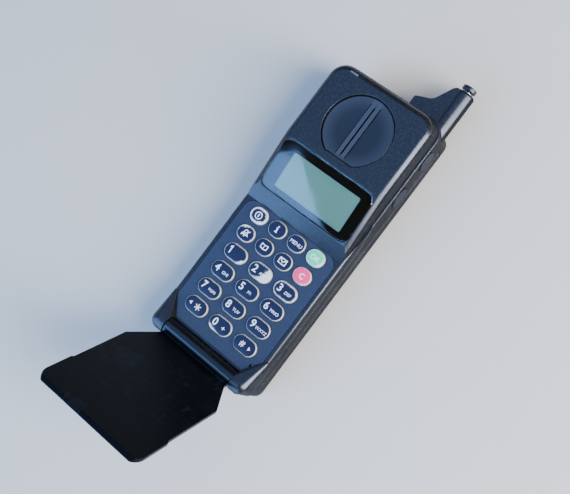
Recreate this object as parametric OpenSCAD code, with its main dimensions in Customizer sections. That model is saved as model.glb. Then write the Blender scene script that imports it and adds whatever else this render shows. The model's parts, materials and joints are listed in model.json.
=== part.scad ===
// A flip phone: a keypad body with a hinged cover at its foot and a pull-out antenna at its head.
// It lies on its back. x runs across the keys, y along the body to the antenna, z out of the front.
// The origin is on the battery's back face, under the middle of the body. All sizes are millimetres.

/* [Body] */
// Width of the body across the keypad
body_w = 58; // [56:0.5:64]
// Distance from the origin to the head end
head_y = 74.8; // [73:0.2:82]
// Radius of the head corners, seen from the front
head_corner_r = 8; // [5:0.5:11]
// Radius of the foot corners, seen from the front
foot_corner_r = 7; // [4:0.5:7.5]
// Radius of the skirt's foot edge, seen from the side
foot_edge_r = 3; // [1:0.5:3.5]
// Thickness of the side and end walls
wall = 1.6; // [1.2:0.1:1.8]
// Thickness of the rear housing's floor
floor_t = 1.5; // [1.3:0.1:2]
// Radius of the long edges of the keypad deck
deck_edge_r = 1.5; // [0.8:0.1:2]
// Height of the front and rear housings' joint below the keypad deck, beside the keys
joint_drop_low = 5.7; // [5:0.1:6]
// Height of the same joint below the keypad deck, beside the ear
joint_drop_high = 1.3; // [0.8:0.1:2]
// Where the joint starts to climb, from the origin
joint_climb_y = 8; // [4:1:10]
// Length over which the joint climbs
joint_climb_l = 12; // [8:1:15]

/* [Raised head] */
// Height of the ear face above the keypad deck
ear_rise = 10; // [9:0.5:12]
// Height of the sloped band above the keys
band_rise = 5; // [4:0.5:6]
// Length of the sloped band
band_run = 6.5; // [5:0.5:8]
// Width of the ear face between the display slope and the earpiece
brow_margin = 3; // [2:0.2:4]
// How much narrower the raised head is on each side
head_step = 0.9; // [0.5:0.1:1.2]
// Radius of the head's edges, round the ear face
head_edge_r = 3.2; // [2.4:0.2:4]
// How far the head's end leans back at the ear face
head_lean = 2.2; // [1:0.2:3]

/* [Keypad] */
// Centre of the top row of keys, from the origin
keypad_y = -6; // [-8:0.5:-5]
// Pitch of the number columns
number_pitch = 15; // [14:0.25:16]
// Pitch of the function columns
function_pitch = 11.3; // [10.5:0.1:12]
// Pitch of the rows
row_pitch = 10; // [9.5:0.25:10.5]
// Width of the panel between two number keys
number_web = 2.8; // [2.2:0.1:4]
// Width of the panel between two function keys
function_web = 2.1; // [1.9:0.1:2.6]
// Height of the panel between two rows
row_web = 2.4; // [2.2:0.1:2.8]
// How far the keys stand out of the panel
key_proud = 1; // [0.6:0.1:1.4]
// Crown of a key's top
key_crown = 0.15; // [0.1:0.05:0.3]
// Rounding of a key's top edge
key_edge_r = 0.45; // [0.2:0.05:0.5]
// How far a key goes down
key_travel = 0.6; // [0.4:0.05:0.8]
// Width of the flange that holds a key under the panel
key_flange = 0.6; // [0.4:0.05:0.65]
// Thickness of that flange
key_flange_t = 0.8; // [0.6:0.1:1.2]
// Width of the deck on each side of the keypad panel
panel_side = 2.5; // [2:0.1:3]
// Thickness of the keypad panel
panel_t = 1.5; // [1.2:0.1:2]
// Panel above the top row of keys
panel_head = 1.2; // [1.1:0.1:2]
// Panel below the bottom row of keys
panel_tail = 5.8; // [5:0.2:7]
// Radius of the panel's top corners
panel_corner_r = 5.5; // [3:0.5:6.5]
// Length of the cut at the panel's lower corners, beside the knuckles
panel_cut_l = 8.4; // [7:0.2:9]
// Width of that cut
panel_cut_w = 6.2; // [5:0.2:6.8]
// Width of the ledge that the panel sits on
panel_ledge = 1.5; // [1:0.1:1.8]
// Thickness of that ledge
panel_ledge_t = 1.5; // [1.2:0.1:1.6]

/* [Display] */
// Width of the head on each side of the display window
window_side = 2.4; // [2.2:0.1:3.4]
// Thickness of the display window
window_t = 1.2; // [1:0.1:1.6]
// Radius of the window's corners
window_corner_r = 4.5; // [2:0.5:6]
// Margin between the band and the window
window_margin = 0.5; // [0.4:0.1:0.9]
// Margin between the window and the ear face
window_head = 1; // [0.8:0.1:2]
// Distance of the liquid crystal glass from the window's sides
lcd_side = 5.2; // [4.4:0.1:6.2]
// Distance of the liquid crystal glass from the window's ends
lcd_end = 2.7; // [2.4:0.1:3.6]
// Thickness of the liquid crystal glass and its light
lcd_t = 3; // [2:0.2:3.4]
// Width of the frame's wall round the glass
lcd_frame_wall = 1.4; // [1:0.1:1.6]

/* [Earpiece] */
// Distance of the earpiece's centre from the head end
ear_setback = 24.8; // [23.8:0.2:24.8]
// Radius of the earpiece dish
ear_r = 16.8; // [15:0.2:17]
// Distance of the dish's flat from its centre
ear_flat = 15; // [13:0.2:15.2]
// Depth of the dish's seat in the ear face
ear_seat = 2.6; // [2:0.1:3]
// Depth of the dish's rim below the ear face
ear_rim = 0.8; // [0.5:0.1:1]
// Rounding of the dish's rim
ear_rim_r = 0.9; // [0.3:0.1:1]
// Depth of the dish's hollow below its rim
ear_hollow = 0.8; // [0.4:0.1:0.9]
// Width of each of the two ribs across the dish
ear_rib_w = 1.9; // [1.4:0.1:2.2]
// Width of the sound slot between the ribs
ear_slot_w = 0.8; // [0.6:0.1:1.2]
// Radius of the speaker
speaker_r = 13; // [11:0.5:14]
// Thickness of the speaker
speaker_t = 4.5; // [3.5:0.5:5.5]
// Width of the speaker's gasket ring
gasket_w = 2; // [1.5:0.1:3]
// Thickness of the speaker's gasket
gasket_t = 0.6; // [0.4:0.1:1]

/* [Flip cover] */
// Angle of the cover from closed to its open stop
flip_open = 122; // [100:1:135]
// Distance of the hinge axis below the panel's foot
hinge_setback = 5.2; // [5:0.1:6.5]
// Height of the hinge axis above the keypad deck
hinge_lift = 0.3; // [0:0.1:0.6]
// Radius of the hinge barrel
barrel_r = 4.2; // [4:0.1:4.4]
// Thickness of the cover
flip_t = 1.9; // [1.6:0.1:2.4]
// How much narrower the cover is than the body, on each side
flip_margin = 0.9; // [0.7:0.1:2]
// How much wider the outer half is on each side
flip_flare = 0.7; // [0.4:0.1:0.8]
// Where the outer half starts, from the hinge axis
flip_flare_at = 52.3; // [48:0.5:56]
// Start of the chamfer beside the knuckles, from the hinge axis
flip_chamfer_start = 5.4; // [5:0.2:8]
// End of that chamfer, from the hinge axis
flip_chamfer_end = 20.4; // [18:0.2:24]
// Radius of the cover's outer corners
flip_corner_r = 7; // [4:0.5:10]
// Radius of the hinge pins
pin_r = 1.2; // [1:0.1:1.5]
// Length of a hinge pin inside the barrel
pin_in_barrel = 8; // [5:0.5:10]
// Length of a hinge pin inside the knuckle
pin_in_knuckle = 5.5; // [4:0.5:6]
// Width of each knuckle across the body
knuckle_w = 8.2; // [7.6:0.1:10]
// Length of the slender end of each knuckle, from the hinge axis
knuckle_l = 15.5; // [12:0.5:18]
// Radius of the knuckle at the hinge
knuckle_r = 4.6; // [4.4:0.1:5]
// Radius of the knuckle's outer shoulder
knuckle_round_r = 4; // [2:0.2:4.2]
// Radius of the knuckle's tip
knuckle_tip_r = 1; // [0.6:0.1:1.5]

/* [Antenna] */
// Distance of the antenna axis from the body's right side
antenna_edge = 4.7; // [4.7:0.1:5.5]
// Height of the antenna axis above the rear housing's floor
antenna_lift = 2.3; // [2.2:0.1:2.6]
// Radius of the tower
tower_r = 4.6; // [4:0.1:4.7]
// Height of the tower above the head end
tower_h = 18.8; // [15:0.2:21]
// Radius of the tower's top edge
tower_edge_r = 1.4; // [0.8:0.1:1.8]
// Width of the shoulder beside the tower
shoulder_w = 18; // [14:0.5:20]
// Height of the shoulder's low end above the head end
shoulder_low = 5; // [3:0.1:6]
// Width of the shoulder's steep part
shoulder_foot = 5.4; // [4:0.2:7]
// Thickness of the shoulder
shoulder_t = 8; // [6:0.2:8.4]
// Radius of the antenna rod
rod_r = 1.25; // [1:0.05:1.3]
// Radius of the stop at the rod's inner end
rod_stop_r = 1.85; // [1.7:0.05:1.9]
// How far the antenna pulls out
antenna_travel = 95; // [60:1:100]
// Radius of the antenna's knob
knob_r = 3.5; // [2.8:0.1:4]
// Thickness of the antenna's knob
knob_t = 2.2; // [1.6:0.1:3]
// Length of the metal ferrule in the tower
ferrule_l = 5; // [4:0.5:7]
// Radius of the ferrule
ferrule_r = 2.6; // [2.4:0.1:3]

/* [Battery] */
// Thickness of the battery pack
battery_t = 9.2; // [8.6:0.2:10.4]
// Distance of the pack's head end from the phone's head end
battery_setback = 9.2; // [8.8:0.2:11]
// Thickness of the pack's back wall
battery_wall = 1.4; // [1.2:0.1:1.8]
// Thickness of the pack's side and end walls
battery_side = 2.2; // [2:0.1:2.8]
// Thickness of the pack's lid
battery_lid_t = 1.4; // [1.2:0.1:1.6]
// Radius of the pack's long edges
battery_edge_r = 3.6; // [2:0.2:4]
// How far the pack stays short of the foot end
foot_margin = 0.6; // [0.4:0.1:1]
// Height of the housing's chin above the resting face
chin_lift = 0.4; // [0.3:0.1:0.6]
// Radius of the pack's foot edge
battery_foot_r = 3; // [2:0.2:4]
// Room beside each cell
cell_gap = 0.4; // [0.2:0.1:0.8]
// Length of a cell
cell_l = 48; // [44:0.5:50]
// Radius of a cell's long edges
cell_edge_r = 1.5; // [1:0.1:2]
// Width of a hook's neck
hook_neck_w = 2.6; // [2:0.1:3]
// Width of a hook's head
hook_head_w = 5.2; // [4.4:0.1:6]
// Length of a hook
hook_l = 6; // [5:0.5:7]
// Thickness of a hook's head
hook_head_t = 1; // [0.8:0.1:1.2]
// Distance of the hooks from the pack's sides
hook_edge = 14; // [13:0.5:16]
// How far the pack slides before it lifts off
battery_travel = 10; // [8.5:0.5:12]
// Width of the latch button
latch_w = 14; // [12:0.5:18]
// Thickness of the latch's flange
latch_flange_t = 0.9; // [0.7:0.1:1.2]
// Depth of the latch's thumb button
latch_button_t = 1.9; // [1.5:0.1:2.2]
// Width of the latch's tongue
latch_tongue_w = 6; // [4:0.5:8]
// How far the latch slides
latch_travel = 1.2; // [0.8:0.1:1.3]

/* [Side keys] */
// Distance of the upper side key from the head end
side_key_setback = 16.8; // [15:0.2:18]
// Pitch of the side keys
side_key_pitch = 20; // [16:0.5:22]
// Length of a side key
side_key_l = 10; // [8:0.5:12]
// Height of a side key
side_key_h = 6.4; // [5:0.2:6.8]
// Height of the side keys above the middle of the rear housing
side_key_lift = 0.9; // [0.7:0.1:1]
// How far a side key stands out of the wall
side_key_proud = 0.6; // [0.4:0.1:0.8]
// How far a side key goes in
side_key_travel = 0.4; // [0.3:0.05:0.45]

/* [Inside] */
// Thickness of the circuit board
board_t = 1.2; // [1:0.1:1.6]
// Height of the circuit board above the floor
board_lift = 4.8; // [4.6:0.1:5.4]
// Thickness of the rubber keypad mat
mat_t = 1; // [0.8:0.1:1.4]
// Height of the mat's pads
mat_pad_h = 0.95; // [0.6:0.05:1.2]
// Depth of the shield can under the board
shield_h = 3; // [2.4:0.1:3.1]
// Radius of the microphone capsule
mic_r = 1.8; // [1.5:0.1:2]
// Radius of the ringer
ringer_r = 6; // [5:0.5:6.5]
// Height of the ringer
ringer_h = 3.6; // [3:0.2:4]
// Radius of the housing screws' shanks
screw_r = 1; // [0.8:0.05:1.1]
// Radius of their heads
screw_head_r = 1.9; // [1.7:0.05:2]
// Thickness of their heads
screw_head_t = 1.1; // [0.8:0.1:1.2]
// Depth of their threads in the front housing
screw_grip = 2; // [1.6:0.1:2.2]
// Wall of a screw boss outside the screw's head
boss_wall = 0.5; // [0.4:0.1:0.6]
// Width of the shield can
shield_w = 30; // [26:1:32]
// Length of the shield can
shield_l = 34; // [30:1:36]
// Sheet thickness of the shield can
shield_wall = 0.4; // [0.3:0.1:0.5]
// Width of the accessory contact block
connector_w = 20; // [16:0.5:24]

/* [Clearances] */
// Room between the battery pack and the rear housing
pack_gap = 0.3; // [0.2:0.05:0.4]
// Room round a key in its hole
key_gap = 0.25; // [0.15:0.05:0.3]
// Room between a pressed key and the mat
press_gap = 0.15; // [0.1:0.05:0.3]
// Room round inlaid pieces
inlay_gap = 0.1; // [0.05:0.05:0.2]
// Groove round the keypad panel
panel_gap = 0.2; // [0.1:0.05:0.3]
// Width and depth of the shadow line along the housings' joint
joint_groove = 0.3; // [0.2:0.05:0.4]
// Room between the closed cover and the keys
flip_gap = 0.5; // [0.4:0.05:0.8]
// Room between the closed cover and the band
band_gap = 0.4; // [0.3:0.05:0.6]
// Room between the barrel and the housing
barrel_gap = 0.35; // [0.3:0.05:0.5]
// Running clearance of pins and of the antenna
run_gap = 0.05; // [0.02:0.01:0.08]
// Clearance of pins and screws where they are held
hold_gap = 0.02; // [0.01:0.01:0.03]
// Room round sliding catches
slide_gap = 0.2; // [0.1:0.05:0.25]

/* [Hidden] */
$fn = 48;
arc_steps = 8;
far = 200;

// Heights, from the battery's back upwards
rear_z = battery_t + pack_gap;
floor_z = rear_z + floor_t;
board_z = floor_z + board_lift;
board_top = board_z + board_t;
mat_top = board_top + mat_t;
key_foot = mat_top + mat_pad_h + press_gap + key_travel;
panel_z = key_foot + key_flange_t;
deck_z = panel_z + panel_t;
key_top = deck_z + key_proud;
ledge_z = panel_z - panel_ledge_t;
joint_low = deck_z - joint_drop_low;
joint_high = deck_z - joint_drop_high;
ear_z = deck_z + ear_rise;

// The keys and the panel round them
number_w = number_pitch - number_web;
function_w = function_pitch - function_web;
key_h = row_pitch - row_web;
last_row_y = keypad_y - 5 * row_pitch;
panel_w = body_w - 2 * panel_side;
panel_cut_r = 1;

// Places along the body
joint_climb_end = joint_climb_y + joint_climb_l;
panel_top = keypad_y + key_h / 2 + panel_head;
panel_foot = last_row_y - key_h / 2 - panel_tail;
hinge_y = panel_foot - hinge_setback;
hinge_z = deck_z + hinge_lift;
foot_y = hinge_y - knuckle_r - foot_margin;
inner_foot = panel_foot + panel_ledge;
battery_head = head_y - battery_setback;
battery_foot = foot_y + foot_margin;
ear_y = head_y - ear_setback;

// The display slope
brow_y = panel_top + band_run;
brow_end_y = ear_y - ear_flat - brow_margin;
brow_z = deck_z + band_rise;
brow_tilt = atan2(ear_z - brow_z, brow_end_y - brow_y);
brow_l = norm([brow_end_y - brow_y, ear_z - brow_z]);
head_half = body_w / 2 - head_step;
window_w = 2 * (head_half - window_side);
window_l = brow_l - window_margin - window_head;
lcd_w = window_w - 2 * lcd_side;
lcd_l = window_l - 2 * lcd_end;
lcd_y = window_margin + window_l / 2;
lcd_corner_r = 0.8;

// The flip cover, as it lies closed
flip_z = key_top + key_crown + flip_gap;
band_lean = atan2(band_rise, band_run);
flip_tip = panel_top + (flip_z - deck_z) * band_run / band_rise - band_gap / sin(band_lean);
flip_tip_out = flip_tip + flip_t * band_run / band_rise;
flip_w = body_w - 2 * flip_margin;
flip_edge_r = 0.5;
knuckle_x = body_w / 2 - knuckle_w;
barrel_l = 2 * (knuckle_x - barrel_gap);
barrel_lip = 0.5;

// The antenna and its tower
antenna_x = body_w / 2 - antenna_edge;
antenna_z = floor_z + antenna_lift;
tower_top = head_y + tower_h;
ferrule_y = tower_top - ferrule_l;
ferrule_proud = 0.4;
rod_stop_l = 2;
rod_spare = 1;
rod_tail = ferrule_y - antenna_travel - rod_stop_l - rod_spare;
rod_bore_r = rod_stop_r + slide_gap;
knob_gap = 1;
knob_edge_r = 0.5;
knob_y = tower_top + knob_gap;
tower_root = 4;
bore_root = 6;
shoulder_end_r = 1;
shoulder_rise = 3;
shoulder_bend_r = 5;
shoulder_top_r = 2.5;
shoulder_drop = 0.5;

// The earpiece
ear_seat_z = ear_z - ear_seat;
ear_rim_z = ear_z - ear_rim;
cup_t = 2;
cup_z = ear_seat_z - cup_t;
ear_groove_w = 0.4;
ear_slot_margin = 4.2;
ear_groove_margin = 3.4;
sound_port_margin = 3.9;
ear_slot_l = 2 * (ear_r - ear_slot_margin);
ear_groove_l = 2 * (ear_r - ear_groove_margin);
sound_port_l = 2 * (speaker_r - sound_port_margin);
magnet_r = 7.8;
speaker_rim_t = 2.2;
dome_r = 6.5;
dome_drop = 0.9;
cone_drop = 1.35;

// Fixing places
boss_r = screw_head_r + boss_wall;
boss_sink = 0.2;
screw_x = body_w / 2 - wall - boss_r + boss_sink;
screw_foot_gap = 9.6;
screw_head_gap = 13.8;
screw_low_y = panel_foot + screw_foot_gap;
screw_high_y = head_y - screw_head_gap;
screw_antenna_gap = 9.3;
SCREWS = [
    [-screw_x, screw_low_y, joint_low],
    [screw_x, screw_low_y, joint_low],
    [-screw_x, screw_high_y, joint_high],
    [antenna_x - screw_antenna_gap, screw_high_y, joint_high]
];
post_edge = 9;
post_x = body_w / 2 - post_edge;
post_gap = 4;
post_r = 1.9;
POSTS = [for (x = [-post_x, post_x], y = [panel_foot + post_gap, keypad_y + post_gap]) [x, y]];
hook_x = body_w / 2 - hook_edge;
hook_setback = 22;
hook_high_y = battery_head - hook_setback;
hook_pitch = 70;
hook_z = floor_z + slide_gap;
HOOKS = [for (x = [-hook_x, hook_x], i = [0, 1]) [x, hook_high_y - i * hook_pitch]];
contact_pitch = 7;
CONTACTS = [for (i = [-1:1]) i * contact_pitch];
contact_setback = 8;
contact_y = battery_head - contact_setback;
contact_r = 0.9;
contact_rise = 1.5;
terminal_w = 4.8;
terminal_l = 8;
terminal_t = 0.3;
battery_lid_z = battery_t - battery_lid_t;
case_half = body_w / 2 - battery_side;
cell_w = (2 * case_half - 4 * cell_gap) / 3;
cell_room = 0.2;
cell_head_gap = 8;
cell_row_gap = 1;
latch_low = chin_lift + 0.1;
latch_z = latch_low + latch_button_t + latch_flange_t + slide_gap;
latch_lead = 1.4;
latch_y = battery_head + pack_gap + latch_lead;
latch_l = battery_setback - pack_gap - latch_lead - latch_travel - slide_gap - wall;
latch_lip = 1;
latch_bite = 0.5;
latch_rib_pitch = 1;
latch_rib_r = 0.25;
connector_h = board_z - floor_z - slide_gap;
connector_d = 5.6;
connector_sink = 0.4;
pad_pitch = 2;
pad_w = 1;
pad_d = 0.4;
pad_end = 0.8;
side_key_z = (rear_z + joint_high) / 2 + side_key_lift;
side_key_up_y = head_y - side_key_setback;
side_key_down_y = side_key_up_y - side_key_pitch;
side_flange_t = 0.8;
switch_w = 6;
switch_d = 4.5;
switch_h = 2.6;
mic_edge = 6.6;
mic_rise = 4.2;
mic_x = body_w / 2 - mic_edge;
mic_y = panel_foot + mic_rise;
mic_hole_w = 0.8;
light_w = 4.6;
light_l = 1.2;
light_edge = 11.4;
light_setback = 2.2;
light_x = -body_w / 2 + light_edge;
light_y = head_y - head_lean - light_setback;
ringer_edge = 15;
ringer_setback = 10;
ringer_x = -body_w / 2 + ringer_edge;
ringer_y = head_y - ringer_setback;
ringer_port_r = 1;
mat_corner_r = 3;
mat_gap = 0.4;
board_gap = 0.5;
board_foot_gap = 1;
shield_corner_r = 1;

// Keys as [name, column, row, columns in that row, colour]
cream = "#d8d4c8";
FUNCTION_NAMES = [["power", "info", "menu", "ok"], ["mute", "book", "mail", "clear"]];
NUMBER_NAMES = [["1", "2", "3"], ["4", "5", "6"], ["7", "8", "9"], ["star", "0", "hash"]];
KEY_ROWS = concat(FUNCTION_NAMES, NUMBER_NAMES);
KEYS = [for (row = [0:5], col = [0:len(KEY_ROWS[row]) - 1])
    [str("key_", KEY_ROWS[row][col]), col, row, len(KEY_ROWS[row])]];
function key_x(k) = (k[1] - (k[3] - 1) / 2) * (k[3] == 4 ? function_pitch : number_pitch);
function key_y(k) = keypad_y - k[2] * row_pitch;
function key_w(k) = k[3] == 4 ? function_w : number_w;
function key_colour(k) = k[0] == "key_ok" ? "#5fe3b4" : k[0] == "key_clear" ? "#f58ab4" : cream;

// An outline from its corners [x, y, radius], with an arc at each corner that has a radius
function unit(v) = v / norm(v);
function flat(p) = [p[0], p[1]];
function corner_arc(a, p, b, r) =
    let (u = unit(a - p), v = unit(b - p), half = acos(u * v) / 2,
        c = p + unit(u + v) * r / sin(half),
        s = p + u * r / tan(half) - c, e = p + v * r / tan(half) - c,
        a0 = atan2(s[1], s[0]), turn = atan2(s[0] * e[1] - s[1] * e[0], s * e))
    [for (i = [0:arc_steps]) c + r * [cos(a0 + turn * i / arc_steps), sin(a0 + turn * i / arc_steps)]];
function rounded(q) = let (n = len(q)) [for (i = [0:n - 1])
    each is_undef(q[i][2]) || q[i][2] <= 0 ? [flat(q[i])]
        : corner_arc(flat(q[(i + n - 1) % n]), flat(q[i]), flat(q[(i + 1) % n]), q[i][2])];
function mirrored(half) =
    concat(half, [for (i = [len(half) - 1:-1:0]) [-half[i][0], half[i][1], half[i][2]]]);

// Extrusions along the three axes
module along_x(x0, x1) { translate([x0, 0, 0]) rotate([90, 0, 90]) linear_extrude(x1 - x0) children(); }
module along_y(y0, y1) { translate([0, y1, 0]) rotate([90, 0, 0]) linear_extrude(y1 - y0) children(); }
module along_z(z0, z1) { translate([0, 0, z0]) linear_extrude(z1 - z0) children(); }
module block(low, high) { translate(low) cube(high - low); }
module bar_x(x0, x1, r) { translate([x0, 0, 0]) rotate([0, 90, 0]) cylinder(r = r, h = x1 - x0); }
module bar_y(y0, y1, r) { translate([0, y1, 0]) rotate([90, 0, 0]) cylinder(r = r, h = y1 - y0); }
module either_side() { for (s = [0, 1]) mirror([s, 0, 0]) children(); }

// A rectangle with corner radius r, and a pill with round ends
module rounded_rect(w, l, r) {
    polygon(rounded(mirrored([[w / 2, -l / 2, r], [w / 2, l / 2, r]])));
}
module pill(w, h) {
    square([w - h, h], center = true);
    for (s = [-1, 1]) translate([s * (w - h) / 2, 0]) circle(d = h);
}
module pill_along_y(w, l) { rotate(90) pill(l, w); }

// A pill turned from a half profile [radius, height]: round ends and a straight middle of length l
module turned_pill(l, profile) {
    for (s = [-1, 1]) translate([s * l / 2, 0, 0]) rotate_extrude() polygon(profile);
    along_x(-l / 2, l / 2) polygon([for (p = mirrored(profile)) flat(p)]);
}

// The frame of the display slope: y along the slope from its foot, z square to it
module on_brow() { translate([0, brow_y, brow_z]) rotate([brow_tilt, 0, 0]) children(); }

// The body's outline from the front, drawn in by inset
module body_outline(half, inset) {
    polygon(rounded([
        [-half + inset, foot_y + inset, foot_corner_r - inset],
        [half - inset, foot_y + inset, foot_corner_r - inset],
        [half - inset, head_y - inset, head_corner_r - inset],
        [-half + inset, head_y - inset, head_corner_r - inset]
    ]));
}

// A solid through outlines of equally many points, from the lowest to the highest
module loft(rings) {
    n = len(rings[0]);
    last = len(rings) - 1;
    foot = [for (i = [0:n - 1]) i];
    roof = [for (i = [n - 1:-1:0]) last * n + i];
    walls = [for (k = [0:last - 1], i = [0:n - 1]) let (a = k * n + i, b = k * n + (i + 1) % n)
        each [[a, a + n, b + n], [a, b + n, b]]];
    polyhedron([for (ring = rings) each ring], concat([foot], walls, [roof]));
}

// The head without its slopes, drawn in by inset
// Its round edge is carried over the corners, and its end leans back
function head_ring(inset, z, further) =
    let (in = inset + further, half = head_half - in,
        end = head_y - in - head_lean * max(0, z - joint_high) / (ear_z - joint_high))
    [for (p = rounded(mirrored([[half, foot_y], [half, end, head_corner_r - in]]))) [p[0], p[1], z]];
module head_loft(inset) {
    edge = head_edge_r - inset;
    edge_z = ear_z - head_edge_r;
    round_edge = [for (i = [0:arc_steps]) let (a = 90 * i / arc_steps)
        head_ring(inset, edge_z + edge * sin(a), edge * (1 - cos(a)))];
    loft(concat([head_ring(inset, 0, 0), head_ring(inset, joint_high, 0)], round_edge));
}

// The raised head, drawn in by inset: the ear face, the display slope and the band
module raised_head(inset, base_low, base_high) {
    half = head_half - inset;
    roof = ear_z + wall;
    band = panel_top + inset / sin(band_lean);
    intersection() {
        head_loft(inset);
        on_brow() along_y(-far / 2, far)
            polygon(rounded(mirrored([[half, -far / 2], [half, -inset, head_edge_r - inset]])));
        along_x(-far, far) polygon([
            [band, base_low],
            [joint_climb_y, base_low],
            [joint_climb_end, base_high],
            [head_y, base_high],
            [head_y, roof],
            [band + (roof - deck_z) * band_run / band_rise, roof],
            [band, deck_z]
        ]);
    }
}

// The skirt round the keypad, up to the deck
module skirt() {
    intersection() {
        along_z(0, far) body_outline(body_w / 2, 0);
        along_y(-far, far) polygon(rounded(mirrored([[body_w / 2, 0], [body_w / 2, deck_z, deck_edge_r]])));
        along_x(-far, far) polygon(rounded([
            [foot_y, joint_low],
            [joint_climb_y, joint_low],
            [joint_climb_end, joint_high],
            [panel_top, deck_z],
            [foot_y, deck_z, foot_edge_r]
        ]));
    }
}

// A hinge knuckle on the right: a drum round the axis, rounded on its outer side and drawn out along the
// edge to a slender tip
module knuckle() {
    tip_y = hinge_y + knuckle_l - knuckle_tip_r;
    intersection() {
        hull() {
            translate([knuckle_x, hinge_y, hinge_z]) rotate([0, 90, 0]) rotate_extrude($fn = 32)
                polygon(rounded([
                    [0, 0],
                    [knuckle_r, 0],
                    [knuckle_r, knuckle_w, knuckle_round_r],
                    [0, knuckle_w]
                ]));
            translate([body_w / 2 - knuckle_tip_r, tip_y, deck_z - knuckle_tip_r / 2])
                sphere(r = knuckle_tip_r, $fn = 16);
        }
        along_z(0, far) body_outline(body_w / 2, 0);
    }
}

// The panel's outline: round at the top, cut across its lower corners beside the knuckles
module panel_outline(inset) {
    half = panel_w / 2 - inset;
    foot = panel_foot + inset;
    lean = atan2(panel_cut_l, panel_cut_w);
    polygon(rounded(mirrored([
        [half - panel_cut_w + inset * (1 - tan(lean / 2)), foot],
        [half, foot + panel_cut_l - inset * (1 - tan(45 - lean / 2)), panel_cut_r],
        [half, panel_top - inset, panel_corner_r - inset]
    ])));
}

// The D shape of the earpiece: a disc cut by a flat
module ear_outline(r) {
    intersection() {
        circle(r = r);
        translate([-far / 2, -ear_flat - (r - ear_r)]) square(far);
    }
}

module front_housing() {
    color("#1c2330") difference() {
        union() {
            difference() {
                union() {
                    skirt();
                    raised_head(0, joint_low, joint_high);
                }
                raised_head(wall, joint_low - wall, joint_high - wall);
                block([-body_w / 2 + wall, inner_foot, joint_low - wall],
                    [body_w / 2 - wall, joint_climb_y + wall, ledge_z]);
            }
            either_side() knuckle();
            translate([0, ear_y, 0]) along_z(cup_z, ear_z - wall / 2) ear_outline(ear_r + wall);
            for (p = SCREWS) translate([p[0], p[1], 0]) screw_boss_front(p);
        }
        along_z(panel_z, far) panel_outline(0);
        along_z(ledge_z - boss_sink, far) panel_outline(panel_ledge);
        keyhole_row_room();
        on_brow() translate([0, lcd_y, 0]) {
            along_z(-window_t, far) rounded_rect(window_w, window_l, window_corner_r);
            along_z(-2 * window_t - wall, 0) rounded_rect(lcd_w + inlay_gap, lcd_l + inlay_gap, lcd_corner_r);
        }
        translate([0, ear_y, 0]) along_z(ear_seat_z, far) ear_outline(ear_r);
        translate([0, ear_y, 0]) along_z(cup_z - 1, far) pill_along_y(ear_rib_w + ear_slot_w, sound_port_l);
        translate([light_x, light_y, 0]) along_z(ear_z - 3 * wall, far) pill(light_w, light_l);
        translate([mic_x, mic_y, 0]) along_z(joint_low, far) pill_along_y(mic_hole_w, 2 * mic_hole_w);
        translate([0, hinge_y, hinge_z]) bar_x(-knuckle_x, knuckle_x, barrel_r + barrel_gap);
        block([-knuckle_x, foot_y - 1, hinge_z - barrel_r - barrel_gap], [knuckle_x, hinge_y, far]);
        either_side() translate([0, hinge_y, hinge_z])
            bar_x(knuckle_x - 1, knuckle_x + pin_in_knuckle, pin_r + hold_gap);
        for (p = SCREWS) translate([p[0], p[1], p[2] - 1])
            cylinder(r = screw_r + hold_gap, h = screw_grip + slide_gap + 1);
    }
}

// Room for the flanges of the top row of keys, which reach past the ledge's line
module keyhole_row_room() {
    top = keypad_y + key_h / 2 + key_flange + key_gap;
    along_z(joint_low, panel_z + 0.01) translate([-panel_w / 2 + panel_ledge, keypad_y])
        square([panel_w - 2 * panel_ledge, top - keypad_y]);
}

// A boss for a housing screw, from the joint up into the front housing
module screw_boss_front(p) {
    along_z(p[2], p[2] == joint_low ? ledge_z + boss_sink : ear_z - wall + boss_sink) circle(r = boss_r);
}

module keypad_panel() {
    color("#232c3e") along_z(panel_z, deck_z) difference() {
        panel_outline(panel_gap);
        for (k = KEYS) translate([key_x(k), key_y(k)]) pill(key_w(k) + 2 * key_gap, key_h + 2 * key_gap);
        translate([mic_x, mic_y]) pill_along_y(mic_hole_w, 2 * mic_hole_w);
    }
}

// A key: a pill with a rounded, slightly crowned top and a flange that stops it under the panel
module key_cap(k) {
    r = key_h / 2;
    profile = concat(
        [[0, key_foot], [r + key_flange, key_foot], [r + key_flange, panel_z], [r, panel_z]],
        [for (a = [0:22.5:90]) [r - key_edge_r * (1 - cos(a)), key_top - key_edge_r * (1 - sin(a))]],
        [[r / 2, key_top + key_crown * 0.75], [0, key_top + key_crown]]);
    color(key_colour(k)) translate([key_x(k), key_y(k), 0]) turned_pill(key_w(k) - key_h, profile);
}

module keypad_mat() {
    low = last_row_y - key_h / 2;
    high = keypad_y + key_h / 2;
    half = screw_x - boss_r - mat_gap;
    color("#6d7078") {
        along_z(board_top, mat_top) translate([0, (low + high) / 2])
            rounded_rect(2 * half, high - low, mat_corner_r);
        for (k = KEYS) translate([key_x(k), key_y(k), mat_top]) cylinder(r = key_h / 3, h = mat_pad_h);
    }
}

module main_board() {
    foot = inner_foot + board_foot_gap;
    head = head_y - 2 * wall;
    color("#2f6b46") along_z(board_z, board_top) difference() {
        translate([0, (foot + head) / 2])
            rounded_rect(body_w - 4 * wall, head - foot, head_corner_r - 2 * wall);
        for (p = SCREWS) translate([p[0], p[1]]) circle(r = boss_r + board_gap);
    }
}

module shield_can() {
    inner_w = shield_w - 2 * shield_wall;
    inner_l = shield_l - 2 * shield_wall;
    color("#b9bcc0") translate([0, (keypad_y + last_row_y) / 2, 0]) difference() {
        along_z(board_z - shield_h, board_z) rounded_rect(shield_w, shield_l, shield_corner_r);
        along_z(board_z - shield_h + shield_wall, far)
            rounded_rect(inner_w, inner_l, shield_corner_r - shield_wall);
    }
}

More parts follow.
